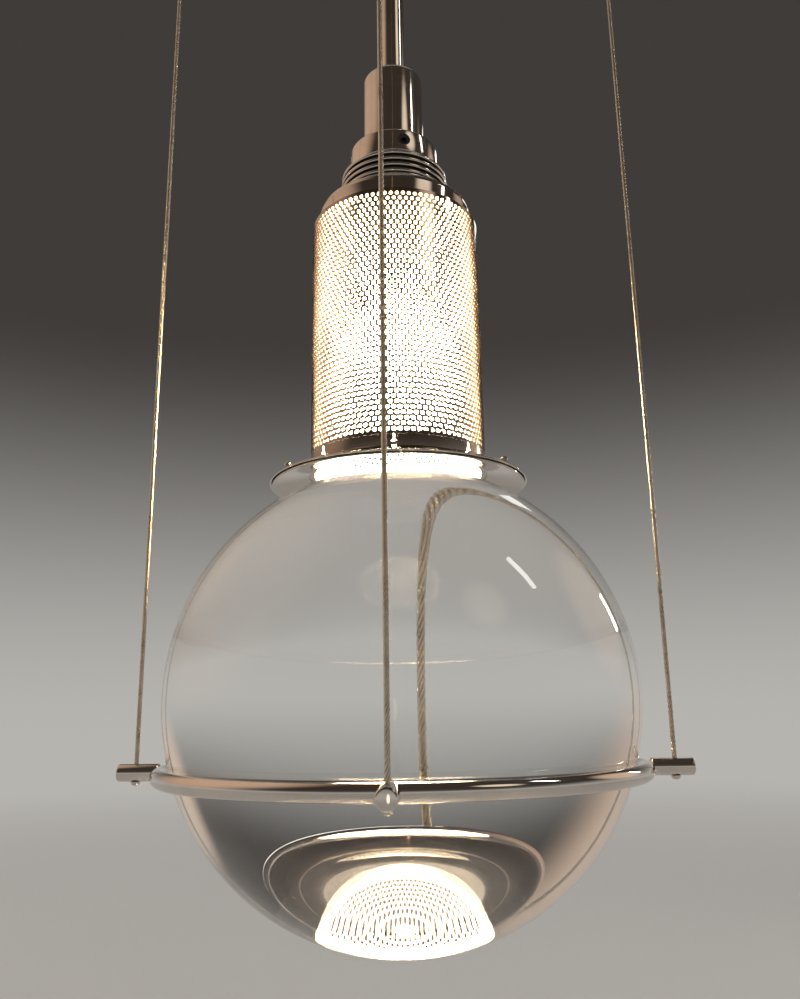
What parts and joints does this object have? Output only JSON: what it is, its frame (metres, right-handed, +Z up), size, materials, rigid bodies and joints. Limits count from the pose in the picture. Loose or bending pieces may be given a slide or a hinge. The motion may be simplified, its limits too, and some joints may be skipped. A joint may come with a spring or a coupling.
{
  "type": "crystal ball pendant light",
  "caption": "Pendant light: a solid crystal ball lies in a metal ring on wires, below a perforated lamp head on a rod.",
  "frame": {"origin": "middle of the ceiling plate's upper face, where the light meets the ceiling", "axes": "+Z up out of the ceiling face, -Y towards the picture's camera, +X to its right"},
  "size_m": [0.2536, 0.2536, 0.625],
  "materials": {
    "plate_steel": "zinc plated",
    "chrome_canopy": "polished",
    "block_plastic": "moulded",
    "grip_steel": "turned",
    "chrome_turned": "turned and polished",
    "chrome_rod": "polished",
    "contact_brass": "bare",
    "porcelain": "glazed",
    "chrome_ring": "polished",
    "wire_steel": "stranded",
    "chrome_spun": "spun and polished",
    "chrome_sheet": "perforated and plated",
    "black_steel": "black oxide",
    "bulb_glass": "clear",
    "tungsten": "glowing",
    "cap_metal": "rolled",
    "crystal": "polished clear"
  },
  "bodies": {
    "frame": {"ceiling_plate": "plate_steel", "canopy": "chrome_canopy", "terminal_block": "block_plastic", "wire_grips": "grip_steel", "rod_flange": "chrome_turned", "rod": "chrome_rod", "coupling": "chrome_turned", "nipple": "contact_brass", "lampholder": "porcelain", "holder_core": "porcelain", "holder_contact": "contact_brass", "ring": "chrome_ring", "pin_right": "chrome_ring", "pin_rear": "chrome_ring", "pin_left": "chrome_ring", "pin_front": "chrome_ring", "wire_right": "wire_steel", "wire_rear": "wire_steel", "wire_left": "wire_steel", "wire_front": "wire_steel", "wire_stops": "grip_steel"},
    "shade": {"collar": "chrome_turned", "rib_cone": "chrome_turned", "cap": "chrome_spun", "sleeve": "chrome_sheet", "brim": "chrome_spun", "under_ring": "chrome_spun", "brim_screws": "grip_steel"},
    "set_screw": {"set_screw": "black_steel"},
    "bulb": {"bulb_glass": "bulb_glass", "bulb_stem": "bulb_glass", "filament": "tungsten", "bulb_cap": "cap_metal", "bulb_contact": "contact_brass"},
    "ball": {"crystal_ball": "crystal"}
  },
  "joints": [
    {"name": "shade_lift", "type": "slide", "parent": "frame", "child": "shade", "axis": [0, 0, 1], "range_m": [0, 0.11]},
    {"name": "set_screw_turn", "type": "hinge", "parent": "shade", "child": "set_screw", "pos_m": [0.005, -0.01743, -0.26473], "axis": [0.2756, -0.9613, 0], "range_deg": [0, 1080]},
    {"name": "bulb_turn", "type": "hinge", "parent": "frame", "child": "bulb", "pos_m": [0, 0, -0.35], "axis": [0, 0, -1], "range_deg": [0, 900]},
    {"name": "ball_turn", "type": "hinge", "parent": "frame", "child": "ball", "pos_m": [0, 0, -0.525], "axis": [0, 0, 1], "continuous": true}
  ]
}
